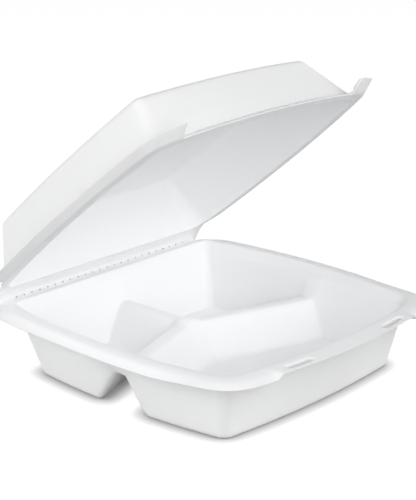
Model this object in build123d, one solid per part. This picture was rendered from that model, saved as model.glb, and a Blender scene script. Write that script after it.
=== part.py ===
"""Three-compartment foam clamshell container, open, in millimetres.

One formed sheet of foam makes a tray and a lid that fold together at a perforated crease.
The tray and the lid are separate solids here, split along that crease, so that the lid can swing.
The origin is on the table, under the middle of the tray's rim. X runs along the hinge, the hinge is
at the back (+Y), and Z is up.
"""
import os
from math import atan2, cos, hypot, radians, sin, tan

from build123d import *

# Foam sheet
SHEET = 2.2
HINGE_GAP = 0.3

# Rim of the tray: overall plan, bow of its edges and height over the table
RIM_WIDTH = 216.0
RIM_DEPTH = 196.0
RIM_HEIGHT = 42.0
SIDE_BOW = 9.0
FRONT_BOW = 10.5
FRONT_CORNER = 30.0
BACK_CORNER = 12.0
INNER_CORNER = 4.5

# Turned lip, flat land, the step down to the wall and the wall's front corners, going inwards
LIP_OUT = 4.0
LIP_DROP = 4.2
LAND = 8.5
LAND_CORNER = 18.0
STEP_IN = 3.5
STEP_DROP = 4.5
WALL_CORNER = 10.0

# Foot of the tray: half width, front and back edges, bow and corners
FOOT_HALF_WIDTH = 83.0
FOOT_FRONT = -71.7
FOOT_BACK = 75.5
FOOT_BOW = 6.8
FOOT_BACK_BOW = 3.0
FOOT_CORNER = 8.0
FOOT_BACK_CORNER = 7.0
FOOT_ROUND = 3.0

# Y-shaped divider pressed up from the floor
DIVIDER_HEIGHT = 24.0
DIVIDER_TOP = 9.0
DIVIDER_DRAFT = 31.0
DIVIDER_FORK_Y = 26.5
DIVIDER_SWEEP = 17.0
DIVIDER_ROUND = 1.6

# Lock slots in the flat front flange
FLAT_FRONT_HALF = 62.0
SLOT_INSET = 18.0
SLOT_LENGTH = 22.0
SLOT_WIDTH = 5.0
SLOT_EDGE = 2.6

# Lid: dome, the set-back of its front edge, and its corner tabs
LID_HEIGHT = 36.2
LID_SETBACK = 11.0
LID_LAND = 8.0
LID_FRONT_LAND = 5.3
LID_TOP_HALF_WIDTH = 79.3
LID_TOP_FRONT = -69.3
LID_TOP_BACK = 78.5
LID_TOP_BOW = 4.5
LID_TOP_CORNER = 7.0
LID_BASE_CORNER = 9.0
LID_TOP_ROUND = 4.0
LID_CORNER = 16.0
TAB_INSET = 22.0
TAB_WIDTH = 18.0
TAB_LENGTH = 9.5
TAB_CORNER = 3.6
TAB_TILT = 25.0

# Hinge: run of the slopes down to the crease, set-back of the crease's ends from the sides,
# taper of the thinned edges and opening as modelled
HINGE_RUN = 11.0
HINGE_INSET = 17.0
HINGE_TAPER = 66.0
LID_OPEN = 42.0

HALF_X = RIM_WIDTH / 2
HALF_Y = RIM_DEPTH / 2
HINGE_Z = RIM_HEIGHT - LIP_DROP
HINGE_SLOPE = atan2(LIP_DROP, HINGE_RUN)
LID_Z = RIM_HEIGHT + HINGE_GAP
SLOT_CENTRE_X = FLAT_FRONT_HALF - SLOT_INSET
TAB_CENTRE_X = HALF_X - TAB_INSET
FAR = 3 * RIM_WIDTH


def plan(half_x, front, back, bows, corners, z):
    """A flat face at height z: bowed sides, front and back, with rounded front and back corners."""
    side_bow, front_bow, back_bow = bows
    x = half_x - side_bow
    y_front = front + front_bow
    y_back = back - back_bow
    middle = (front + back) / 2
    back_points = [(x, y_back), (0, back), (-x, y_back)]
    edges = [
        ThreePointArc((-x, y_front), (0, front), (x, y_front)),
        ThreePointArc((x, y_front), (half_x, middle), (x, y_back)),
        ThreePointArc(*back_points) if back_bow else Line(back_points[0], back_points[-1]),
        ThreePointArc((-x, y_back), (-half_x, middle), (-x, y_front)),
    ]
    face = make_face(edges)
    face = fillet(face.vertices().sort_by(Axis.Y)[:2], corners[0])
    face = fillet(face.vertices().sort_by(Axis.Y)[-2:], corners[1])
    return Pos(0, 0, z) * face


def rim_plan(inset, z):
    """The rim's plan, drawn in by an inset, with its straight back at the hinge."""
    corners = [max(corner - inset, INNER_CORNER) for corner in (FRONT_CORNER, BACK_CORNER)]
    return plan(HALF_X - inset, -HALF_Y + inset, HALF_Y - inset, (SIDE_BOW, FRONT_BOW, 0), corners, z)


def land_plan(front, front_corner, z):
    """The flat land of the tray or the lid, out to where its lips and the slope to the crease begin."""
    corners = (front_corner - LIP_OUT, LAND_CORNER)
    return plan(HALF_X - LIP_OUT, front + LIP_OUT, HALF_Y - HINGE_RUN, (SIDE_BOW, FRONT_BOW, 0), corners, z)


def foot_plan(inset, z):
    """The tray's foot, drawn in by an inset."""
    corners = (FOOT_CORNER - inset, FOOT_BACK_CORNER - inset)
    bows = (FOOT_BOW, FOOT_BOW, FOOT_BACK_BOW)
    return plan(FOOT_HALF_WIDTH - inset, FOOT_FRONT + inset, FOOT_BACK - inset, bows, corners, z)


def between(lower, upper):
    """A solid with straight walls between two plans."""
    return loft([lower, upper], ruled=True)


def block(x, y, z):
    """A box given by its ranges along X, Y and Z."""
    size = [high - low for low, high in (x, y, z)]
    centre = [(high + low) / 2 for low, high in (x, y, z)]
    return Pos(*centre) * Box(*size)


def across(profile, half_length):
    """A profile of (y, z) points, carried along X to both sides of the middle."""
    face = make_face(Polyline(*[(0, y, z) for y, z in profile], close=True))
    return extrude(face, half_length, dir=(1, 0, 0), both=True)


def turned_rim(edge, land_edge, edge_height, land_height):
    """A sheet that is flat inside the land's edge and slopes from there to the rim's edge."""
    def raised(shift):
        return edge(edge_height + shift), land_edge(land_height + shift)

    low, high = (raised(0), raised(SHEET))
    if edge_height < land_height:
        skin = between(*high) + extrude(low[0], SHEET)
        return skin - between(*low)
    skin = between(low[1], low[0]) + extrude(low[0], SHEET)
    return skin - between(high[1], high[0])


def divider(top_half, top_z, bottom_z):
    """The three arms of the divider: one to the hinge side and two swept forward to the sides."""
    bottom_half = top_half + (top_z - bottom_z) * tan(radians(DIVIDER_DRAFT))
    section = Polyline(
        (0, -bottom_half, bottom_z), (0, -top_half, top_z), (0, top_half, top_z), (0, bottom_half, bottom_z),
        close=True,
    )
    arm = extrude(make_face(section), HALF_X, dir=(1, 0, 0))
    arms = [Rot(0, 0, turn) * arm for turn in (90, -DIVIDER_SWEEP, 180 + DIVIDER_SWEEP)]
    return Pos(0, DIVIDER_FORK_Y, 0) * (arms[0] + arms[1] + arms[2])


def make_tray():
    """The tray: floor, walls, hollow divider and rim, with lock slots in the front flange."""
    step_inset = LIP_OUT + LAND
    wall_inset = step_inset + STEP_IN
    wall_z = RIM_HEIGHT - STEP_DROP
    wall_draft = (HALF_X - wall_inset - FOOT_HALF_WIDTH) / wall_z
    skin = SHEET * (1 + wall_draft * wall_draft) ** 0.5

    def wall_plan(outset, z):
        inset = wall_inset - outset
        corners = (WALL_CORNER + outset, INNER_CORNER + outset)
        return plan(HALF_X - inset, -HALF_Y + inset, HALF_Y - inset, (SIDE_BOW, FRONT_BOW, 0), corners, z)

    def tray_land(z):
        return land_plan(-HALF_Y, FRONT_CORNER, z)

    outside = between(foot_plan(0, 0), wall_plan(skin, wall_z))
    outside = fillet(outside.faces().sort_by(Axis.Z)[0].edges(), FOOT_ROUND)
    shoulder = between(wall_plan(skin, wall_z - SHEET), rim_plan(step_inset - skin, RIM_HEIGHT - SHEET))
    pocket = between(foot_plan(skin, SHEET), wall_plan(0, wall_z))
    pocket = fillet(pocket.faces().sort_by(Axis.Z)[0].edges(), FOOT_ROUND)
    mouth = between(wall_plan(0, wall_z), rim_plan(step_inset, RIM_HEIGHT))

    rim = turned_rim(lambda z: rim_plan(0, z), tray_land, HINGE_Z - SHEET, RIM_HEIGHT - SHEET)
    front = block((-FLAT_FRONT_HALF, FLAT_FRONT_HALF), (-FAR, FOOT_FRONT), (0, FAR))
    land = extrude(tray_land(0), FAR)
    flange = extrude(rim_plan(0, RIM_HEIGHT - SHEET), SHEET) & front
    rim = rim - (front - land) + flange

    arms = divider(DIVIDER_TOP / 2, DIVIDER_HEIGHT, 0)
    arms = fillet(arms.faces().sort_by(Axis.Z)[-1].edges(), DIVIDER_ROUND)
    draft = radians(DIVIDER_DRAFT)
    hollow_side = DIVIDER_TOP / 2 - SHEET * (1 / cos(draft) - tan(draft))
    hollow = divider(hollow_side, DIVIDER_HEIGHT - SHEET, -SHEET)
    tray = outside + shoulder + rim - pocket - mouth
    tray = tray + (arms & outside) - hollow

    slot = extrude(SlotOverall(SLOT_LENGTH, SLOT_WIDTH), FAR)
    slot_y = -HALF_Y + FRONT_BOW * (SLOT_CENTRE_X / HALF_X) ** 2 + SLOT_EDGE + SLOT_WIDTH / 2
    for side in (-1, 1):
        tray -= Pos(side * SLOT_CENTRE_X, slot_y, 0) * slot

    reach = 2 * hypot(LIP_OUT, LIP_DROP)
    lean = radians(HINGE_TAPER) - HINGE_SLOPE
    inner = HALF_Y - reach * cos(lean)
    relief = [
        (HALF_Y, HINGE_Z), (HALF_Y + reach, HINGE_Z), (HALF_Y + reach, HINGE_Z - reach),
        (inner, HINGE_Z - reach), (inner, HINGE_Z - reach * sin(lean)),
    ]
    return tray - across(relief, HALF_X)


def make_lid():
    """The lid, closed: dome, flat land, side lips turned up, a back lip down to the crease and two tabs."""
    lid_front = -HALF_Y + LID_SETBACK - LIP_OUT
    base_inset = LIP_OUT + LID_LAND

    def edge_plan(z):
        bows = (SIDE_BOW, FRONT_BOW, 0)
        return plan(HALF_X, lid_front, HALF_Y, bows, (LID_CORNER, BACK_CORNER), z)

    def lid_land(z):
        return land_plan(lid_front, LID_CORNER, z)

    def base_plan(outset, z):
        front = lid_front + LIP_OUT + LID_FRONT_LAND - outset
        back = HALF_Y - base_inset + outset
        corners = (LID_BASE_CORNER, LID_BASE_CORNER)
        return plan(HALF_X - base_inset + outset, front, back, (SIDE_BOW, FRONT_BOW, 0), corners, z)

    def top_plan(inset, z):
        bows = (LID_TOP_BOW, LID_TOP_BOW, 0)
        corner = LID_TOP_CORNER - inset
        return plan(
            LID_TOP_HALF_WIDTH - inset, LID_TOP_FRONT + inset, LID_TOP_BACK - inset, bows, (corner, corner), z
        )

    wall_draft = (HALF_X - base_inset - LID_TOP_HALF_WIDTH) / LID_HEIGHT
    skin = SHEET * (1 + wall_draft * wall_draft) ** 0.5
    dome = between(base_plan(skin, LID_Z), top_plan(0, LID_Z + LID_HEIGHT))
    dome = fillet(dome.faces().sort_by(Axis.Z)[-1].edges(), LID_TOP_ROUND)
    inside = between(base_plan(0, LID_Z), top_plan(skin, LID_Z + LID_HEIGHT - SHEET))
    inside = fillet(inside.faces().sort_by(Axis.Z)[-1].edges(), LID_TOP_ROUND - skin / 2)

    rim = turned_rim(edge_plan, lid_land, LID_Z + LIP_DROP, LID_Z)
    land = extrude(lid_land(0), FAR)
    lip_back = HALF_Y - HINGE_RUN - LAND_CORNER
    sides = block((-FAR, FAR), (lid_front + FRONT_BOW, lip_back), (0, FAR))
    sides -= block((-TAB_CENTRE_X, TAB_CENTRE_X), (-FAR, FAR), (0, FAR))
    lid = dome + (rim & (land + sides)) - inside

    along = (cos(HINGE_SLOPE), -sin(HINGE_SLOPE))
    out = (sin(HINGE_SLOPE), cos(HINGE_SLOPE))
    land_y = HALF_Y - HINGE_RUN

    def lifted(rise, pull):
        turn = (land_y + tan(HINGE_SLOPE / 2) * rise, RIM_HEIGHT + rise)
        end = (HALF_Y + out[0] * rise - along[0] * pull, HINGE_Z + out[1] * rise - along[1] * pull)
        return turn, end

    low_turn, low_end = lifted(HINGE_GAP, 0)
    high_turn, high_end = lifted(HINGE_GAP + SHEET, SHEET / tan(radians(HINGE_TAPER)))
    back_lip = [
        (land_y - LIP_OUT, LID_Z), low_turn, low_end, high_end, high_turn, (land_y - LIP_OUT, LID_Z + SHEET)
    ]
    lid += across(back_lip, HALF_X - HINGE_INSET)

    tab_y = -HALF_Y + LID_SETBACK + FRONT_BOW * (TAB_CENTRE_X / HALF_X) ** 2
    tilt = radians(TAB_TILT)
    reach = TAB_LENGTH * cos(tilt)
    rise = TAB_LENGTH * sin(tilt)
    bend = SHEET * tan(tilt / 2)
    side_view = [
        (LIP_OUT, 0), (0, 0), (-reach, rise), (-reach + SHEET * sin(tilt), rise + SHEET * cos(tilt)),
        (bend, SHEET), (LIP_OUT, SHEET),
    ]
    tab = across(side_view, TAB_WIDTH / 2) & extrude(RectangleRounded(TAB_WIDTH, 2 * reach, TAB_CORNER), FAR)
    for side in (-1, 1):
        lid += Pos(side * TAB_CENTRE_X, tab_y, LID_Z) * tab
    return lid


def open_lid(lid):
    """Swings the closed lid up about the crease."""
    return Pos(0, HALF_Y, HINGE_Z) * Rot(-LID_OPEN, 0, 0) * Pos(0, -HALF_Y, -HINGE_Z) * lid


os.makedirs("parts", exist_ok=True)
NODES = {"tray": make_tray(), "lid": open_lid(make_lid())}
for name, solid in NODES.items():
    export_step(solid, f"parts/{name}.step")
    print(name, "volume", round(solid.volume / 1000, 2), "cm3, solids", len(solid.solids()))
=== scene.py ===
"""Foam clamshell container: a divided tray and a domed lid of one foam sheet, with a perforated crease.

Sizes are in metres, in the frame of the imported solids: X runs along the crease, which is at the back (+Y).
"""
from math import atan2, cos, pi, radians, sin, sqrt, tan

import bmesh
import bpy
from bpy.props import FloatProperty, FloatVectorProperty, PointerProperty
from bpy.types import Operator, Panel, PropertyGroup
from mathutils import Matrix, Vector, noise
from mathutils.geometry import interpolate_bezier
from mathutils.kdtree import KDTree


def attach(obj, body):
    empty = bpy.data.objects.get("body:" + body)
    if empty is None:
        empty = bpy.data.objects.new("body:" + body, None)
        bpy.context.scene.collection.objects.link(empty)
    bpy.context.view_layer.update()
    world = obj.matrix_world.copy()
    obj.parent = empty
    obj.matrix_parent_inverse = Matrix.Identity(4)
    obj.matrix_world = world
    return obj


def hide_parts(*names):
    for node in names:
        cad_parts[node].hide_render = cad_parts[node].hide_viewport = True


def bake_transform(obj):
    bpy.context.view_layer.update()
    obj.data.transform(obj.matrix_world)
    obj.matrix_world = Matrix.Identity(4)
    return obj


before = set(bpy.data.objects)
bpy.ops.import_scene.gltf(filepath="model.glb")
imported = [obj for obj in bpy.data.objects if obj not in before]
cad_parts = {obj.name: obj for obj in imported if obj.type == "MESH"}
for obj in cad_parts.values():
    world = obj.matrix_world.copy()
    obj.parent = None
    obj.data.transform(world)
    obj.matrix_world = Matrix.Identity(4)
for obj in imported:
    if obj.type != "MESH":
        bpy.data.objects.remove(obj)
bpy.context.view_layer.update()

bl_info = {
    "name": "Foam clamshell container",
    "version": (1, 0, 0),
    "blender": (4, 5, 0),
    "location": "View3D > Sidebar > Container",
    "description": "Builds a hinged foam food container and a plain studio for it",
    "category": "Object",
}

# Vertices along each straight side and round each corner of the sheet
SIDE_COLUMNS = 96
CORNER_COLUMNS = 22
# Rows of vertices across each part of the sheet, from the rim's edge to the middle
LIP_ROWS = 8
LAND_ROWS = 9
STEP_ROWS = 7
WALL_ROWS = 20
ARC_ROWS = 6
FLOOR_ROWS = 34
LID_LIP_ROWS = 6
LID_LAND_ROWS = 5
LID_TOP_ROWS = 24
# Columns and rows of the web at each perforation and across the crease
WEB_COLUMNS = 14
WEB_ROWS = 28
# How far the tray's and the lid's walls lean from upright
TRAY_LEAN = radians(18)
LID_LEAN = radians(20)
# Bends sharper than this are edges, and each is rounded in so many steps
EDGE_ANGLE = radians(55)
EDGE_STEPS = 2
# Waves per metre of the sheet's broad and fine unevenness, and the fine one's share and start
BROAD_WAVES = 22.0
FINE_WAVES = 61.0
FINE_SHARE = 0.45
FINE_START = Vector((3.1, 7.7, 1.3))
# Octaves of noise in the foam's denser patches and in its swell
PATCH_DETAIL = 5.0
SWELL_DETAIL = 3.0
# Where each soft lamp stands, and the point that they all face
LAMPS = {
    "high_lamp": (0.2, -1.2, 1.2),
    "low_lamp": (0.2, -1.6, 0.1),
    "right_lamp": (1.2, -1.2, 0.6),
    "left_lamp": (-1.1, -1.2, 0.6),
    "back_lamp": (-1.5, 0.8, 0.5),
}
LAMP_AIM = Vector((0, 0, 0.06))
# The camera's sensor in millimetres, and the least distance at which it sees
SENSOR_WIDTH = 36
NEAREST_SEEN = 0.01
# Vertices this close are one
WELD = 1e-6


def length(name, description, default):
    """A size in metres."""
    return FloatProperty(name=name, description=description, default=default, unit="LENGTH", precision=4)


def turn(name, description, degrees):
    """An angle, given in degrees."""
    return FloatProperty(name=name, description=description, default=radians(degrees), subtype="ANGLE")


def level(name, description, default):
    """A plain number, such as a strength or a share."""
    return FloatProperty(name=name, description=description, default=default, min=0.0)


def colour(name, description, default):
    """A linear colour."""
    return FloatVectorProperty(
        name=name, description=description, default=default, size=3, subtype="COLOR", min=0.0, max=1.0
    )


class SheetSizes(PropertyGroup):
    """The foam sheet and the rim that the tray and the lid share."""

    thickness: length("Thickness", "Thickness of the foam", 0.0022)
    edge_round: length("Edge rounding", "Rounding of the cut edge", 0.0003)
    edge_taper: length("Edge taper", "Width of the margin that is pressed thin along the cut edge", 0.003)
    edge_share: level("Edge share", "Share of the thickness that is left at the cut edge", 0.2)
    half_width: length("Half width", "Half of the rim's width at its middle", 0.108)
    half_depth: length("Half depth", "Half of the rim's depth at its middle", 0.098)
    side_bow: length("Side bow", "Bow of the rim's sides", 0.009)
    front_bow: length("Front bow", "Bow of the rim's front", 0.0105)
    back_corner: length("Back corner", "Corner radius beside the crease", 0.012)
    lip_out: length("Lip width", "Width of the turned lip in plan", 0.004)
    lip_drop: length("Lip depth", "Depth of the tray's front lip, were its bend sharp", 0.0026)
    side_drop: length("Side lip depth", "Depth of the tray's side lips, were their bend sharp", 0.0044)
    lip_round: length("Lip rounding", "Softness of the bend over which the tray's lip turns", 0.008)
    hinge_drop: length("Hinge depth", "Depth of the crease below the land", 0.0042)
    hinge_run: length("Hinge run", "Run of the slope from the land down to the crease", 0.011)
    land_corner: length("Land corner", "Corner radius of the flat land beside the crease", 0.018)
    bend_round: length("Bend rounding", "Softness of the folds in the rim", 0.0012)
    waver: length("Waver", "How far the sheet wavers from its true form", 0.00022)


class TraySizes(PropertyGroup):
    """The tray: rim height, land and step, foot and divider."""

    rim_height: length("Rim height", "Height of the rim's land over the table", 0.042)
    front_corner: length("Front corner", "Corner radius of the rim at the front", 0.030)
    inner_corner: length("Inner corner", "Least corner radius of the walls", 0.0045)
    wall_corner: length("Wall corner", "Corner radius of the walls at the front", 0.010)
    land: length("Land", "Width of the flat land", 0.0085)
    step_in: length("Step width", "Width of the rounded step in plan", 0.0035)
    step_drop: length("Step depth", "Depth of the rounded step", 0.0045)
    foot_half_width: length("Foot half width", "Half of the foot's width at its middle", 0.0838)
    foot_front: length("Foot front", "Front of the foot", -0.0728)
    foot_back: length("Foot back", "Back of the foot", 0.0755)
    foot_side_bow: length("Foot side bow", "Bow of the foot's sides", 0.0058)
    foot_front_bow: length("Foot front bow", "Bow of the foot's front", 0.0042)
    foot_back_bow: length("Foot back bow", "Bow of the foot's back", 0.003)
    foot_corner: length("Foot corner", "Corner radius of the foot at the front", 0.008)
    foot_back_corner: length("Foot back corner", "Corner radius of the foot at the back", 0.007)
    floor_round: length("Floor rounding", "Radius between the walls and the floor, inside", 0.001)
    divider_height: length("Divider height", "Height of the divider over the table", 0.024)
    divider_top: length("Divider top", "Width of the divider's flat top", 0.009)
    divider_draft: turn("Divider draft", "Slope of the divider's sides", 31.0)
    divider_round: length("Divider rounding", "Softness of the divider's top edges", 0.0013)
    divider_foot: length("Divider foot", "Softness where the divider meets the floor", 0.0028)
    divider_flare: length("Divider flare", "Softness where the divider meets the walls", 0.022)
    fork_y: length("Fork", "Where the divider's three arms meet", 0.0265)
    sweep: turn("Sweep", "How far the side arms sweep forward", 17.0)
    arm_fillet: length("Arm fillet", "Softness where the divider's arms meet", 0.006)
    flat_front: length("Flat front", "Half of the front's length that has no turned lip", 0.062)
    lip_start: length("Lip start", "Length over which the front's lip begins to turn", 0.004)
    waver_full: length("Waver start", "Height over the table from which the walls waver fully", 0.010)
    calm_low: length("Calm start", "Height over the table from which the walls waver less", 0.036)
    calm_high: length("Calm end", "Height over the table from which the rim is calm", 0.040)
    calm: level("Calm", "Share of the waver that the rim lacks", 0.75)
    slot_x: length("Slot place", "Distance of each lock slot from the middle", 0.044)
    slot_length: length("Slot length", "Length of a lock slot", 0.022)
    slot_width: length("Slot width", "Width of a lock slot", 0.005)
    slot_edge: length("Slot edge", "Foam left between a slot and the front edge", 0.0026)


class LidSizes(PropertyGroup):
    """The lid, given closed: dome, land and tabs, and how far it stands open."""

    gap: length("Gap", "Gap between the closed lid's land and the tray's", 0.0003)
    height: length("Height", "Height of the dome over the land", 0.0362)
    setback: length("Setback", "Set-back of the lid's front edge from the tray's", 0.011)
    land: length("Land", "Width of the flat land", 0.008)
    front_land: length("Front land", "Width of the flat land at the front", 0.0053)
    lip_rise: length("Lip height", "Height of the lips turned up along the sides", 0.0042)
    slit_half: length("Slit half length", "Half of the length of the front's fine slit", 0.063)
    slit_low: length("Slit height", "Height of the slit over the land", 0.0019)
    slit_width: length("Slit width", "Width of the slit", 0.0009)
    corner: length("Corner", "Corner radius of the lid's rim at the front", 0.016)
    top_half_width: length("Top half width", "Half of the top's width at its middle", 0.0793)
    top_front: length("Top front", "Front of the top", -0.0693)
    top_back: length("Top back", "Back of the top", 0.0785)
    top_bow: length("Top bow", "Bow of the top's front and sides", 0.0045)
    top_corner: length("Top corner", "Corner radius of the top", 0.007)
    base_corner: length("Base corner", "Corner radius of the dome at the land", 0.009)
    top_round: length("Top rounding", "Radius between the walls and the top, inside", 0.0034)
    tab_x: length("Tab place", "Distance of each tab from the middle", 0.086)
    tab_width: length("Tab width", "Width of a tab", 0.018)
    tab_length: length("Tab length", "How far a tab stands out", 0.0095)
    tab_corner: length("Tab corner", "Corner radius of a tab", 0.0026)
    tab_skew: level("Tab skew", "Slope of a tab's tip, which follows the rounded corner", 0.33)
    tab_tilt: turn("Tab tilt", "How far a tab is bent up", 25.0)
    tab_depth: length("Tab depth", "How far back from the bowed front a tab's root can lie", 0.012)
    waver_run: length("Waver run", "Height over the land from which the dome wavers fully", 0.008)
    hinge_inset: length("Hinge inset", "Set-back of the crease's ends from the sides", 0.017)
    opening: turn("Opening", "How far the lid stands open", 42.0)


class HingeSizes(PropertyGroup):
    """The thin web of foam along the crease, with its row of perforations."""

    half_length: length("Half length", "Half of the crease's length", 0.0895)
    end_run: length("End run", "Length over which the web narrows at each end", 0.009)
    reach: length("Reach", "How far the web runs up the tray and the lid", 0.0095)
    fold: level("Fold", "Roundness of the web's fold, as a share of its reach", 0.45)
    lift: length("Lift", "Height of the web over both sides", 0.00012)
    thickness: length("Thickness", "Thickness of the web", 0.0014)
    pitch: length("Pitch", "Spacing of the perforations", 0.0065)
    hole_length: length("Hole length", "Length of a perforation along the crease", 0.0015)
    hole_width: length("Hole width", "Width of a perforation across the crease", 0.0010)


class FoamFinish(PropertyGroup):
    """The look of the foam."""

    tint: colour("Foam", "Colour of the foam", (0.941, 0.947, 0.959))
    shade: colour("Foam shade", "Colour of the slightly denser patches", (0.925, 0.931, 0.941))
    roughness: level("Roughness", "Roughness of the skin", 0.6)
    glow: level("Translucence", "Share of the light that goes into the foam", 0.45)
    glow_depth: length("Glow depth", "How far light spreads in the foam", 0.003)
    gloss: level("Gloss", "Strength of the skin's reflections", 0.3)
    patches: level("Patches", "Scale of the denser patches", 70.0)
    cell: length("Cell size", "Size of the foam's cells", 0.0009)
    cell_relief: level("Cell relief", "Strength of the cells' relief", 0.16)
    swell: level("Swell", "Scale of the skin's gentle swell", 160.0)
    swell_height: length("Swell height", "Height of the skin's gentle swell", 0.001)
    swell_relief: level("Swell relief", "Strength of the swell's relief", 0.12)


class StudioLook(PropertyGroup):
    """The camera, the lamps, and the floor with its contact shadow."""

    eye: FloatVectorProperty(
        name="Eye",
        description="Place of the camera",
        default=(-0.7533, -0.6079, 0.3886),
        size=3,
        unit="LENGTH",
    )
    azimuth: turn("Azimuth", "Turn of the camera round the container", -50.5625)
    elevation: turn("Elevation", "Height of the camera over the horizon", 17.9915)
    roll: turn("Roll", "Lean of the camera", 1.80995)
    lens: level("Lens", "Focal length in millimetres", 126.16)
    lamp_size: length("Lamp size", "Width of each square lamp", 1.2)
    high_lamp: level("High lamp", "Power of the lamp high in front", 12.4)
    low_lamp: level("Low lamp", "Power of the lamp low in front", 5.4)
    right_lamp: level("Right lamp", "Power of the lamp between the front and the right", 4.4)
    left_lamp: level("Left lamp", "Power of the lamp between the front and the left", 12.6)
    back_lamp: level("Back lamp", "Power of the lamp behind the left", 19.5)
    sky: level("Sky", "Strength of the even light from all round", 0.10)
    floor_half: length("Floor half width", "Half of the floor's width", 6.0)
    floor_bounce: level("Floor bounce", "Share of the light that the floor throws back", 0.37)
    floor_paper: level("Floor paper", "Whiteness of the floor that shows the lamps' shadows", 0.30)
    floor_lift: level("Floor lift", "Whiteness of the floor that shows the contact shadow only", 0.90)
    contact_dark: level("Contact dark", "Share of open sky at which the contact shadow is darkest", 0.3)
    contact_tone: level("Contact tone", "Whiteness of the darkest of the contact shadow", 0.17)
    contact_reach: length("Contact reach", "How far the contact shadow goes", 0.010)


def smooth_max(a, b, reach):
    """The larger of two heights, with a fillet where they meet."""
    overlap = max(reach - abs(a - b), 0.0) / reach
    return max(a, b) + overlap * overlap * reach / 4


def ramp(distance, soft):
    """A slope that starts at zero, softly, and then rises one for one."""
    return (distance + sqrt(distance * distance + soft * soft)) / 2


def ease(value, low, high):
    """A share that goes smoothly from nought at low to one at high."""
    t = min(max((value - low) / (high - low), 0.0), 1.0)
    return t * t * (3 - 2 * t)


def outline(half_x, front, back, bows, corners):
    """Points round a plan with bowed sides and rounded corners, anticlockwise from the front left."""
    side_bow, front_bow, back_bow = bows
    x = half_x - side_bow
    low = front + front_bow
    high = back - back_bow
    middle = (front + back) / 2
    ends = [Vector(p) for p in ((-x, low), (x, low), (x, high), (-x, high))]
    crowns = [Vector(p) for p in ((0, front), (half_x, middle), (0, back), (-half_x, middle))]
    radii = (corners[0], corners[0], corners[1], corners[1])
    sides = [(ends[i], 2 * crowns[i] - (ends[i] + ends[i - 3]) / 2, ends[i - 3]) for i in range(4)]

    def at(side, t):
        a, b, c = side
        return a * (1 - t) ** 2 + b * 2 * t * (1 - t) + c * t * t

    def heading(side, t):
        a, b, c = side
        return ((b - a) * (1 - t) + (c - b) * t).normalized()

    turns = [heading(sides[i - 1], 1).angle(heading(sides[i], 0)) for i in range(4)]
    cuts = [radii[i] * tan(turns[i] / 2) / (sides[i][2] - sides[i][0]).length for i in range(4)]
    ends_cut = [radii[i] * tan(turns[i] / 2) / (sides[i - 1][2] - sides[i - 1][0]).length for i in range(4)]
    points = []
    for i, side in enumerate(sides):
        j = i - 3
        first, last = cuts[i], 1 - ends_cut[j]
        points += [at(side, first + (last - first) * k / SIDE_COLUMNS) for k in range(SIDE_COLUMNS)]
        handle = radii[j] * 4 / 3 * tan(turns[j] / 4)
        start = at(side, last)
        end = at(sides[j], cuts[j])
        bend = (start, start + heading(side, last) * handle, end - heading(sides[j], cuts[j]) * handle, end)
        points += [p.to_2d() for p in interpolate_bezier(*bend, CORNER_COLUMNS + 1)[:-1]]
    return points


def land_plan(sheet, front, front_corner):
    """Points round the flat land of the tray or the lid, where the lips and the crease's slope begin."""
    bows = (sheet.side_bow, sheet.front_bow, 0)
    corners = (front_corner - sheet.lip_out, sheet.land_corner)
    back = sheet.half_depth - sheet.hinge_run
    return outline(sheet.half_width - sheet.lip_out, front + sheet.lip_out, back, bows, corners)


def fillet_angles(lean):
    """Angles of the rows round the fillet between a leaning wall and a level floor or top."""
    return [lean + (pi / 2 - lean) * k / ARC_ROWS for k in range(ARC_ROWS + 1)]


def ring(points, z):
    """A plan's points at a height."""
    return [Vector((p.x, p.y, z)) for p in points]


def mixed(first, second, share):
    """A ring part of the way from one ring to another."""
    return [a.lerp(b, share) for a, b in zip(first, second)]


def wrapped(rings):
    """A sheet whose rows of vertices lie on the rings, from the outermost to the innermost."""
    rows = len(rings) - 1
    columns = len(rings[0])
    bm = bmesh.new()
    bmesh.ops.create_grid(bm, x_segments=columns, y_segments=rows, size=1)
    for vertex in bm.verts:
        column = round((vertex.co.x + 1) / 2 * columns) % columns
        row = round((vertex.co.y + 1) / 2 * rows)
        vertex.co = rings[row][column]
    bmesh.ops.remove_doubles(bm, verts=bm.verts, dist=WELD)
    # Marked before any slot is cut, because only the sheet's own edge is pressed thin
    rim = bm.verts.layers.int.new("rim")
    for vertex in bm.verts:
        vertex[rim] = vertex.is_boundary
    return bm


def waver(point, amount):
    """A slight unevenness of the formed sheet, the same at each run."""
    broad = noise.noise(point * BROAD_WAVES)
    fine = noise.noise(point * FINE_WAVES + FINE_START)
    return amount * (broad + FINE_SHARE * fine)


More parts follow.
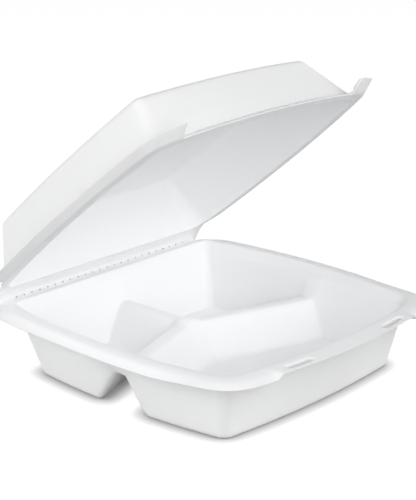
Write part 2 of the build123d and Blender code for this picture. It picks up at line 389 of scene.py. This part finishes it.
def sheet_object(name, bm, sizes, offset):
    """A mesh object from a single skin, given its thickness and thin, rounded cut edges."""
    mesh = bpy.data.meshes.new(name)
    # The tray's edge keeps its thickness along the crease
    crease = sizes.half_depth - WELD
    rim = bm.verts.layers.int["rim"]
    cut = [vertex.co.copy() for vertex in bm.verts if vertex[rim] and vertex.co.y < crease]
    nearest = KDTree(len(cut))
    for number, co in enumerate(cut):
        nearest.insert(co, number)
    nearest.balance()
    shares = [ease(nearest.find(vertex.co)[2], 0, sizes.edge_taper) for vertex in bm.verts]
    for face in bm.faces:
        face.smooth = True
    bm.to_mesh(mesh)
    bm.free()
    made = bpy.data.objects.new(name, mesh)
    bpy.context.scene.collection.objects.link(made)
    full = made.vertex_groups.new(name="Full thickness")
    for number, share in enumerate(shares):
        full.add([number], share, "REPLACE")
    solid = made.modifiers.new("Foam", "SOLIDIFY")
    solid.vertex_group = full.name
    solid.thickness_vertex_group = sizes.edge_share
    solid.thickness = sizes.thickness
    solid.offset = offset
    solid.use_even_offset = True
    solid.use_quality_normals = True
    edges = made.modifiers.new("Edges", "BEVEL")
    edges.width = sizes.edge_round
    edges.segments = EDGE_STEPS
    edges.limit_method = "ANGLE"
    edges.angle_limit = EDGE_ANGLE
    return made


def foam_material(finish):
    """White foam: a satin skin over fine cells, with slightly denser patches."""
    material = bpy.data.materials.get("white_foam")
    if material:
        return material
    material = bpy.data.materials.new("white_foam")
    material.use_nodes = True
    nodes = material.node_tree.nodes
    link = material.node_tree.links.new
    skin = nodes["Principled BSDF"]
    skin.inputs["Roughness"].default_value = finish.roughness
    skin.inputs["Specular IOR Level"].default_value = finish.gloss
    skin.inputs["Subsurface Weight"].default_value = finish.glow
    skin.inputs["Subsurface Radius"].default_value = (1, 1, 1)
    skin.inputs["Subsurface Scale"].default_value = finish.glow_depth
    place = nodes.new("ShaderNodeTexCoord")

    patches = nodes.new("ShaderNodeTexNoise")
    patches.inputs["Scale"].default_value = finish.patches
    patches.inputs["Detail"].default_value = PATCH_DETAIL
    tone = nodes.new("ShaderNodeMix")
    tone.data_type = "RGBA"
    tone.inputs["A"].default_value = (*finish.tint, 1)
    tone.inputs["B"].default_value = (*finish.shade, 1)
    link(place.outputs["Object"], patches.inputs["Vector"])
    link(patches.outputs["Fac"], tone.inputs["Factor"])
    link(tone.outputs["Result"], skin.inputs["Base Color"])

    cells = nodes.new("ShaderNodeTexVoronoi")
    cells.inputs["Scale"].default_value = 1 / finish.cell
    fine = nodes.new("ShaderNodeBump")
    fine.inputs["Strength"].default_value = finish.cell_relief
    fine.inputs["Distance"].default_value = finish.cell / 4
    swell = nodes.new("ShaderNodeTexNoise")
    swell.inputs["Scale"].default_value = finish.swell
    swell.inputs["Detail"].default_value = SWELL_DETAIL
    broad = nodes.new("ShaderNodeBump")
    broad.inputs["Strength"].default_value = finish.swell_relief
    broad.inputs["Distance"].default_value = finish.swell_height
    link(place.outputs["Object"], cells.inputs["Vector"])
    link(place.outputs["Object"], swell.inputs["Vector"])
    link(cells.outputs["Distance"], fine.inputs["Height"])
    link(swell.outputs["Fac"], broad.inputs["Height"])
    link(broad.outputs["Normal"], fine.inputs["Normal"])
    link(fine.outputs["Normal"], skin.inputs["Normal"])
    return material


def divider_height(x, y, tray):
    """Height of the divider's sides and top over a point of the plan."""
    ahead = -sin(tray.sweep)
    aside = cos(tray.sweep)
    arms = (Vector((0, 1)), Vector((aside, ahead)), Vector((-aside, ahead)))
    offset = Vector((x, y - tray.fork_y))
    heights = []
    for arm in arms:
        along = max(offset.dot(arm), 0.0)
        away = (offset - arm * along).length
        fall = ramp(away - tray.divider_top / 2, tray.divider_round) / tan(tray.divider_draft)
        heights.append(tray.divider_height - fall)
    sides = smooth_max(heights[0], heights[1], tray.arm_fillet)
    return smooth_max(sides, heights[2], tray.arm_fillet)


def slot_distance(x, y, slot_y, tray):
    """Distance from a lock slot's outline in plan, negative inside it, and the way to the outline."""
    half_run = (tray.slot_length - tray.slot_width) / 2
    run = min(max(abs(x) - tray.slot_x, -half_run), half_run)
    spine = Vector((run + tray.slot_x, slot_y))
    away = Vector((abs(x), y)) - spine
    return away.length - tray.slot_width / 2, spine, away


class CONTAINER_OT_tray(Operator):
    """Builds the tray: rim with a turned lip and lock slots, walls, floor and Y-shaped divider"""

    bl_idname = "container.tray"
    bl_label = "Tray"

    def rim(self, sheet, tray):
        """Rings of the rim's upper skin: lip, slope to the crease, land and rounded step."""
        bows = (sheet.side_bow, sheet.front_bow, 0)

        def rim_plan(inset):
            corners = [max(c - inset, tray.inner_corner) for c in (tray.front_corner, sheet.back_corner)]
            half_y = sheet.half_depth - inset
            return outline(sheet.half_width - inset, -half_y, half_y, bows, corners)

        def wall_plan(inset):
            half_y = sheet.half_depth - inset
            corners = (tray.wall_corner, tray.inner_corner)
            return outline(sheet.half_width - inset, -half_y, half_y, bows, corners)

        step_inset = sheet.lip_out + tray.land
        edge = ring(rim_plan(0), tray.rim_height)
        land = ring(land_plan(sheet, -sheet.half_depth, tray.front_corner), tray.rim_height)
        step = ring(rim_plan(step_inset), tray.rim_height)
        wall = ring(wall_plan(step_inset + tray.step_in), tray.rim_height)
        rows = [mixed(edge, land, k / LIP_ROWS) for k in range(LIP_ROWS + 1)]
        rows += [mixed(land, step, k / LAND_ROWS) for k in range(1, LAND_ROWS)]
        rows += [mixed(step, wall, k / STEP_ROWS) for k in range(STEP_ROWS + 1)]
        step_slope = tray.step_drop / tray.step_in
        land_back = sheet.half_depth - sheet.hinge_run
        soft = sheet.bend_round / 2
        for number, row in enumerate(rows):
            lip_side = 1 if number <= LIP_ROWS else -1
            step_side = -1 if number <= LIP_ROWS + LAND_ROWS else 1
            for point, outer, bend, brink in zip(row, edge, land, step):
                turned = 1.0
                if point.y < tray.foot_front:
                    turned = ease(abs(point.x), tray.flat_front, tray.flat_front + tray.lip_start)
                to_crease = ease(bend.y, land_back - sheet.land_corner, land_back)
                to_side = ease(bend.y, tray.foot_front, tray.foot_front / 2)
                drop = sheet.lip_drop + (sheet.side_drop - sheet.lip_drop) * to_side
                drop += (sheet.hinge_drop - drop) * to_crease
                lip_soft = (sheet.lip_round + (sheet.bend_round - sheet.lip_round) * to_crease) / 2
                lip_slope = turned * drop / (outer - bend).length
                to_bend = lip_side * (point.xy - bend.xy).length
                to_brink = step_side * (point.xy - brink.xy).length
                point.z -= lip_slope * ramp(to_bend, lip_soft) + step_slope * ramp(to_brink, soft)
        return rows

    def basin(self, sheet, tray, top):
        """Rings of the walls, the floor and the divider, from below the step to the divider's fork."""
        def foot_plan(inset):
            inset += sheet.thickness
            corners = (tray.foot_corner - inset, tray.foot_back_corner - inset)
            bows = (tray.foot_side_bow, tray.foot_front_bow, tray.foot_back_bow)
            front = tray.foot_front + inset
            back = tray.foot_back - inset
            return outline(tray.foot_half_width - inset, front, back, bows, corners)

        floor_z = sheet.thickness
        radius = tray.floor_round
        setback = tan((pi / 2 - TRAY_LEAN) / 2)
        arc = fillet_angles(TRAY_LEAN)
        fillet = [ring(foot_plan(radius * (setback - cos(a))), floor_z + radius * (1 - sin(a))) for a in arc]
        walls = [mixed(top, fillet[0], k / WALL_ROWS) for k in range(1, WALL_ROWS)]
        fork = [Vector((0, tray.fork_y, floor_z))] * len(top)
        floor = [mixed(fillet[-1], fork, k / FLOOR_ROWS) for k in range(1, FLOOR_ROWS + 1)]
        rows = walls + fillet + floor
        for row in rows:
            for point in row:
                up_wall = ease(point.z, floor_z + radius, tray.divider_height)
                reach = tray.divider_foot + (tray.divider_flare - tray.divider_foot) * up_wall
                point.z = smooth_max(point.z, divider_height(point.x, point.y, tray), reach)
        return rows

    def cut_slots(self, bm, sheet, tray):
        """Cuts the two lock slots out of the flat front flange."""
        crown = sheet.front_bow * (tray.slot_x / (sheet.half_width - sheet.side_bow)) ** 2
        slot_y = -sheet.half_depth + crown + tray.slot_edge + tray.slot_width / 2

        def follow(co):
            rise = sheet.front_bow * ((co.x / (sheet.half_width - sheet.side_bow)) ** 2)
            return co.y - rise + crown

        def inside(face):
            co = face.calc_center_median()
            return slot_distance(co.x, follow(co), slot_y, tray)[0] < 0 and co.y < tray.foot_front

        gone = [face for face in bm.faces if inside(face)]
        lost = set(gone)
        edge = {v for face in gone for v in face.verts if not lost.issuperset(v.link_faces)}
        bmesh.ops.delete(bm, geom=gone, context="FACES")
        # What is left of the slot's ragged edge is drawn onto its outline
        for vertex in edge:
            shift = vertex.co.y - follow(vertex.co)
            _, spine, away = slot_distance(vertex.co.x, follow(vertex.co), slot_y, tray)
            target = spine + away.normalized() * tray.slot_width / 2
            vertex.co.x = target.x if vertex.co.x > 0 else -target.x
            vertex.co.y = target.y + shift

    def execute(self, context):
        sheet = context.scene.container_sheet
        tray = context.scene.container_tray
        rim = self.rim(sheet, tray)
        bm = wrapped(rim + self.basin(sheet, tray, rim[-1]))
        self.cut_slots(bm, sheet, tray)
        for vertex in bm.verts:
            over_floor = ease(vertex.co.z, sheet.thickness, tray.waver_full)
            below_rim = 1 - tray.calm * ease(vertex.co.z, tray.calm_low, tray.calm_high)
            vertex.co.z += waver(vertex.co, sheet.waver) * below_rim * over_floor
        made = sheet_object("foam_tray", bm, sheet, -1)
        made.data.materials.append(foam_material(context.scene.container_foam))
        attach(made, "tray_body")
        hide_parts("tray")
        return {"FINISHED"}


class CONTAINER_OT_lid(Operator):
    """Builds the lid: dome, land, turned lips, slope to the crease, front slit and two corner tabs"""

    bl_idname = "container.lid"
    bl_label = "Lid"

    def rings(self, sheet, lid, land_z):
        """Rings of the closed lid's lower skin, from its edge to the middle of the dome."""
        bows = (sheet.side_bow, sheet.front_bow, 0)
        lid_front = -sheet.half_depth + lid.setback - sheet.lip_out
        front = lid_front + sheet.lip_out + lid.front_land
        side = sheet.lip_out + lid.land
        corners = (lid.base_corner, lid.base_corner)
        base = ring(outline(sheet.half_width - side, front, sheet.half_depth - side, bows, corners), land_z)
        return self.rim(sheet, lid, land_z, lid_front, base) + self.dome(sheet, lid, land_z, base)

    def rim(self, sheet, lid, land_z, lid_front, base):
        """Rings of the tabs, the turned lips, the slope to the crease and the land."""
        bows = (sheet.side_bow, sheet.front_bow, 0)
        corners = (lid.corner, sheet.back_corner)
        lip_edge = ring(outline(sheet.half_width, lid_front, sheet.half_depth, bows, corners), land_z)
        land_edge = ring(land_plan(sheet, lid_front, lid.corner), land_z)
        tip_y = -sheet.half_depth + lid.setback + sheet.front_bow * (lid.tab_x / sheet.half_width) ** 2
        tip_y -= lid.tab_length * cos(lid.tab_tilt)
        tip_z = lid.tab_length * sin(lid.tab_tilt)
        hinge_half = sheet.half_width - lid.hinge_inset
        land_back = sheet.half_depth - sheet.hinge_run
        lip_back = land_back - sheet.land_corner
        hinge_slope = sheet.hinge_drop / sheet.hinge_run
        tab_back = lid_front + sheet.front_bow + lid.tab_depth
        for point, inner in zip(lip_edge, land_edge):
            from_tab = abs(abs(inner.x) - lid.tab_x) - lid.tab_width / 2
            if inner.y < tab_back and from_tab <= 0:
                # A tab, bent up, with rounded corners and a sloping tip
                nose = max(from_tab + lid.tab_corner, 0.0)
                point.x = inner.x
                point.y = tip_y + lid.tab_skew * (abs(inner.x) - lid.tab_x)
                point.y += lid.tab_corner - sqrt(max(lid.tab_corner ** 2 - nose ** 2, 0.0))
                point.z += tip_z
            elif abs(inner.x) < lid.tab_x and inner.y < 0:
                # The front between the tabs, which has no lip
                point.xyz = inner
            elif inner.y < lip_back:
                # The lip turned up along a side
                point.z += lid.lip_rise
            else:
                # The slope, which stops at the crease and at the crease's ends
                out = (point.xy - inner.xy).normalized()
                to_crease = (sheet.half_depth - inner.y) / out.y
                to_end = (hinge_half - abs(inner.x)) / max(abs(out.x), WELD)
                point.xy = inner.xy + out * max(min(to_crease, to_end), 0.0)
        rows = [mixed(lip_edge, land_edge, k / LID_LIP_ROWS) for k in range(LID_LIP_ROWS + 1)]
        rows += [mixed(land_edge, base, k / LID_LAND_ROWS) for k in range(1, LID_LAND_ROWS)]
        for row in rows:
            for point in row:
                if point.y > lip_back:
                    point.z -= hinge_slope * ramp(point.y - land_back, sheet.bend_round / 2)
        return rows

    def dome(self, sheet, lid, land_z, base):
        """Rings of the dome's walls and top, with two rows for the edges of the front's slit."""
        def top_plan(inset):
            inset += sheet.thickness
            corner = lid.top_corner - inset
            front = lid.top_front + inset
            back = lid.top_back - inset
            bows = (lid.top_bow, lid.top_bow, 0)
            return outline(lid.top_half_width - inset, front, back, bows, (corner, corner))

        ceiling = land_z + lid.height - sheet.thickness
        radius = lid.top_round
        setback = tan((pi / 2 - LID_LEAN) / 2)
        arc = fillet_angles(LID_LEAN)
        fillet = [ring(top_plan(radius * (setback - cos(a))), ceiling - radius * (1 - sin(a))) for a in arc]
        rise = lid.height - sheet.thickness
        shares = [0, lid.slit_low / rise, (lid.slit_low + lid.slit_width) / rise]
        shares += [k / WALL_ROWS for k in range(2, WALL_ROWS)]
        walls = [mixed(base, fillet[0], share) for share in shares]
        centre = [Vector((0, 0, ceiling))] * len(base)
        top = [mixed(fillet[-1], centre, k / LID_TOP_ROWS) for k in range(1, LID_TOP_ROWS + 1)]
        return walls + fillet + top

    def cut_slit(self, bm, lid, land_z):
        """Cuts the fine slit along the foot of the dome's front wall."""
        def inside(face):
            co = face.calc_center_median()
            up = co.z - land_z - lid.slit_low
            return abs(co.x) < lid.slit_half and co.y < lid.top_front and 0 < up < lid.slit_width

        gone = [face for face in bm.faces if inside(face)]
        bmesh.ops.delete(bm, geom=gone, context="FACES")

    def execute(self, context):
        sheet = context.scene.container_sheet
        lid = context.scene.container_lid
        rim_height = context.scene.container_tray.rim_height
        land_z = rim_height + lid.gap
        bm = wrapped(self.rings(sheet, lid, land_z))
        self.cut_slit(bm, lid, land_z)
        for vertex in bm.verts:
            over_land = ease(vertex.co.z, land_z, land_z + lid.waver_run)
            vertex.co.z += waver(vertex.co, sheet.waver) * over_land
        crease = Vector((0, sheet.half_depth, rim_height - sheet.hinge_drop))
        bmesh.ops.rotate(bm, verts=bm.verts, cent=crease, matrix=Matrix.Rotation(-lid.opening, 3, "X"))
        made = sheet_object("foam_lid", bm, sheet, 1)
        made.data.materials.append(foam_material(context.scene.container_foam))
        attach(made, "lid_body")
        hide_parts("lid")
        return {"FINISHED"}


class CONTAINER_OT_hinge(Operator):
    """Builds the perforated web that joins the tray and the lid at the crease"""

    bl_idname = "container.hinge"
    bl_label = "Hinge"

    def strip(self, hinge, crease, tray_way, lid_way, inward):
        """The web's inner skin, folded from the tray's slope to the lid's and narrowed at its ends."""
        count = round(2 * hinge.half_length / hinge.pitch)
        bm = bmesh.new()
        bmesh.ops.create_grid(bm, x_segments=count * WEB_COLUMNS, y_segments=WEB_ROWS, size=1)
        for vertex in bm.verts:
            along = vertex.co.x * hinge.half_length
            t = vertex.co.y
            way = tray_way.lerp(lid_way, ease(t, -hinge.fold, hinge.fold))
            out = sqrt(t * t + hinge.fold ** 2)
            from_end = min((hinge.half_length - abs(along)) / hinge.end_run, 1.0)
            narrowing = sqrt(max(1 - (1 - from_end) ** 2, 0.0))
            vertex.co = crease + way * out * hinge.reach * narrowing + inward * hinge.lift
            vertex.co.x = along
        bmesh.ops.remove_doubles(bm, verts=bm.verts, dist=WELD)
        return bm

    def pierce(self, bm, hinge, middle):
        """Cuts the row of perforations along the middle of the fold."""
        def pierced(face):
            co = face.calc_center_median()
            if abs(co.x) > hinge.half_length - hinge.end_run:
                return False
            along = abs((co.x / hinge.pitch) % 1.0 - 0.5) * hinge.pitch
            across = (co - middle).yz.length
            return (2 * along / hinge.hole_length) ** 2 + (2 * across / hinge.hole_width) ** 2 < 1

        gone = [face for face in bm.faces if pierced(face)]
        bmesh.ops.delete(bm, geom=gone, context="FACES")

    def thicken(self, bm, hinge, inward):
        """Gives the web its thickness, behind the skin that faces inward."""
        bmesh.ops.recalc_face_normals(bm, faces=bm.faces)
        facing = sum((face.normal * face.calc_area() for face in bm.faces), Vector())
        if facing.dot(inward) < 0:
            bmesh.ops.reverse_faces(bm, faces=bm.faces)
        bmesh.ops.solidify(bm, geom=bm.faces[:], thickness=hinge.thickness)

    def execute(self, context):
        sheet = context.scene.container_sheet
        hinge = context.scene.container_hinge
        crease = Vector((0, sheet.half_depth, context.scene.container_tray.rim_height - sheet.hinge_drop))
        slope = atan2(sheet.hinge_drop, sheet.hinge_run)
        opening = context.scene.container_lid.opening
        tray_way = Vector((0, -cos(slope), sin(slope)))
        lid_way = Vector((0, -cos(slope + opening), sin(slope + opening)))
        inward = (tray_way + lid_way).normalized()
        middle = crease + (tray_way + lid_way) / 2 * hinge.fold * hinge.reach + inward * hinge.lift
        bm = self.strip(hinge, crease, tray_way, lid_way, inward)
        self.pierce(bm, hinge, middle)
        self.thicken(bm, hinge, inward)
        mesh = bpy.data.meshes.new("hinge_web")
        for face in bm.faces:
            face.smooth = True
        bm.to_mesh(mesh)
        bm.free()
        made = bpy.data.objects.new("hinge_web", mesh)
        context.scene.collection.objects.link(made)
        made.data.materials.append(foam_material(context.scene.container_foam))
        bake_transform(made)
        return {"FINISHED"}


class CONTAINER_OT_studio(Operator):
    """Builds the floor, the lamps and the camera"""

    bl_idname = "container.studio"
    bl_label = "Studio"

    def directly_seen(self, tree):
        """One for rays that show a surface to the camera, also by gloss or glass, or else nought."""
        path = tree.nodes.new("ShaderNodeLightPath")
        seen = path.outputs["Is Camera Ray"]
        for kind in ("Is Glossy Ray", "Is Transmission Ray"):
            either = tree.nodes.new("ShaderNodeMath")
            either.operation = "MAXIMUM"
            tree.links.new(seen, either.inputs[0])
            tree.links.new(path.outputs[kind], either.inputs[1])
            seen = either.outputs["Value"]
        return seen

    def floor(self, look):
        """A wide floor, seen as white paper with a contact shadow, that throws back only some light."""
        bm = bmesh.new()
        bmesh.ops.create_grid(bm, x_segments=1, y_segments=1, size=look.floor_half)
        mesh = bpy.data.meshes.new("studio_floor")
        bm.to_mesh(mesh)
        bm.free()
        made = bpy.data.objects.new("studio_floor", mesh)
        bpy.context.scene.collection.objects.link(made)
        material = bpy.data.materials.new("studio_white")
        material.use_nodes = True
        tree = material.node_tree
        tree.nodes.clear()
        link = tree.links.new
        bounce = tree.nodes.new("ShaderNodeBsdfDiffuse")
        bounce.inputs["Color"].default_value = (*[look.floor_bounce] * 3, 1)
        paper = tree.nodes.new("ShaderNodeBsdfDiffuse")
        paper.inputs["Color"].default_value = (*[look.floor_paper] * 3, 1)
        corners = tree.nodes.new("ShaderNodeAmbientOcclusion")
        corners.inputs["Distance"].default_value = look.contact_reach
        contact = tree.nodes.new("ShaderNodeMapRange")
        contact.inputs["From Min"].default_value = look.contact_dark
        contact.inputs["To Min"].default_value = look.contact_tone
        contact.inputs["To Max"].default_value = look.floor_lift
        glow = tree.nodes.new("ShaderNodeEmission")
        shown = tree.nodes.new("ShaderNodeAddShader")
        either = tree.nodes.new("ShaderNodeMixShader")
        out = tree.nodes.new("ShaderNodeOutputMaterial")
        link(corners.outputs["AO"], contact.inputs["Value"])
        link(contact.outputs["Result"], glow.inputs["Strength"])
        link(paper.outputs["BSDF"], shown.inputs[0])
        link(glow.outputs["Emission"], shown.inputs[1])
        link(self.directly_seen(tree), either.inputs["Fac"])
        link(bounce.outputs["BSDF"], either.inputs[1])
        link(shown.outputs["Shader"], either.inputs[2])
        link(either.outputs["Shader"], out.inputs["Surface"])
        mesh.materials.append(material)

    def lamp(self, name, place, power, size):
        """A square soft lamp that faces the container."""
        light = bpy.data.lights.new(name, "AREA")
        light.energy = power
        light.size = size
        made = bpy.data.objects.new(name, light)
        made.location = place
        made.rotation_euler = (LAMP_AIM - Vector(place)).to_track_quat("-Z", "Y").to_euler()
        bpy.context.scene.collection.objects.link(made)

    def world(self, look):
        """Even light from all round, which the camera, gloss and glass see as white."""
        world = bpy.data.worlds.new("studio_world")
        bpy.context.scene.world = world
        world.use_nodes = True
        tree = world.node_tree
        sky = tree.nodes["Background"]
        sky.inputs["Color"].default_value = (1, 1, 1, 1)
        strength = tree.nodes.new("ShaderNodeMapRange")
        strength.inputs["To Min"].default_value = look.sky
        strength.inputs["To Max"].default_value = 1.0
        tree.links.new(self.directly_seen(tree), strength.inputs["Value"])
        tree.links.new(strength.outputs["Result"], sky.inputs["Strength"])

    def camera(self, look):
        """The camera, at the place and angle that the view is taken from."""
        data = bpy.data.cameras.new("studio_camera")
        data.sensor_width = SENSOR_WIDTH
        data.lens = look.lens
        data.clip_start = NEAREST_SEEN
        made = bpy.data.objects.new("studio_camera", data)
        turned = Matrix.Rotation(look.azimuth, 4, "Z") @ Matrix.Rotation(pi / 2 - look.elevation, 4, "X")
        made.matrix_world = Matrix.Translation(look.eye) @ turned @ Matrix.Rotation(look.roll, 4, "Z")
        bpy.context.scene.collection.objects.link(made)
        bpy.context.scene.camera = made

    def execute(self, context):
        look = context.scene.container_studio
        self.floor(look)
        for name, place in LAMPS.items():
            self.lamp(name, place, getattr(look, name), look.lamp_size)
        self.world(look)
        self.camera(look)
        context.scene.view_settings.view_transform = "Standard"
        return {"FINISHED"}


class CONTAINER_PT_panel(Panel):
    """The container's sizes, finish and steps"""

    bl_idname = "CONTAINER_PT_panel"
    bl_label = "Foam container"
    bl_space_type = "VIEW_3D"
    bl_region_type = "UI"
    bl_category = "Container"

    def draw(self, context):
        for step in STEPS:
            self.layout.operator(step.bl_idname)
        for name in GROUPS:
            group = getattr(context.scene, name)
            box = self.layout.box()
            box.label(text=name.removeprefix("container_").capitalize())
            for prop in group.__annotations__:
                box.prop(group, prop)


GROUPS = {
    "container_sheet": SheetSizes,
    "container_tray": TraySizes,
    "container_lid": LidSizes,
    "container_hinge": HingeSizes,
    "container_foam": FoamFinish,
    "container_studio": StudioLook,
}
STEPS = (CONTAINER_OT_tray, CONTAINER_OT_lid, CONTAINER_OT_hinge, CONTAINER_OT_studio)


def register():
    for name, group in GROUPS.items():
        bpy.utils.register_class(group)
        setattr(bpy.types.Scene, name, PointerProperty(type=group))
    for cls in (*STEPS, CONTAINER_PT_panel):
        bpy.utils.register_class(cls)


def unregister():
    for cls in (CONTAINER_PT_panel, *reversed(STEPS)):
        bpy.utils.unregister_class(cls)
    for name, group in GROUPS.items():
        delattr(bpy.types.Scene, name)
        bpy.utils.unregister_class(group)


def main():
    register()
    bpy.ops.container.tray()
    bpy.ops.container.lid()
    bpy.ops.container.hinge()
    bpy.ops.container.studio()


if __name__ == "__main__":
    main()
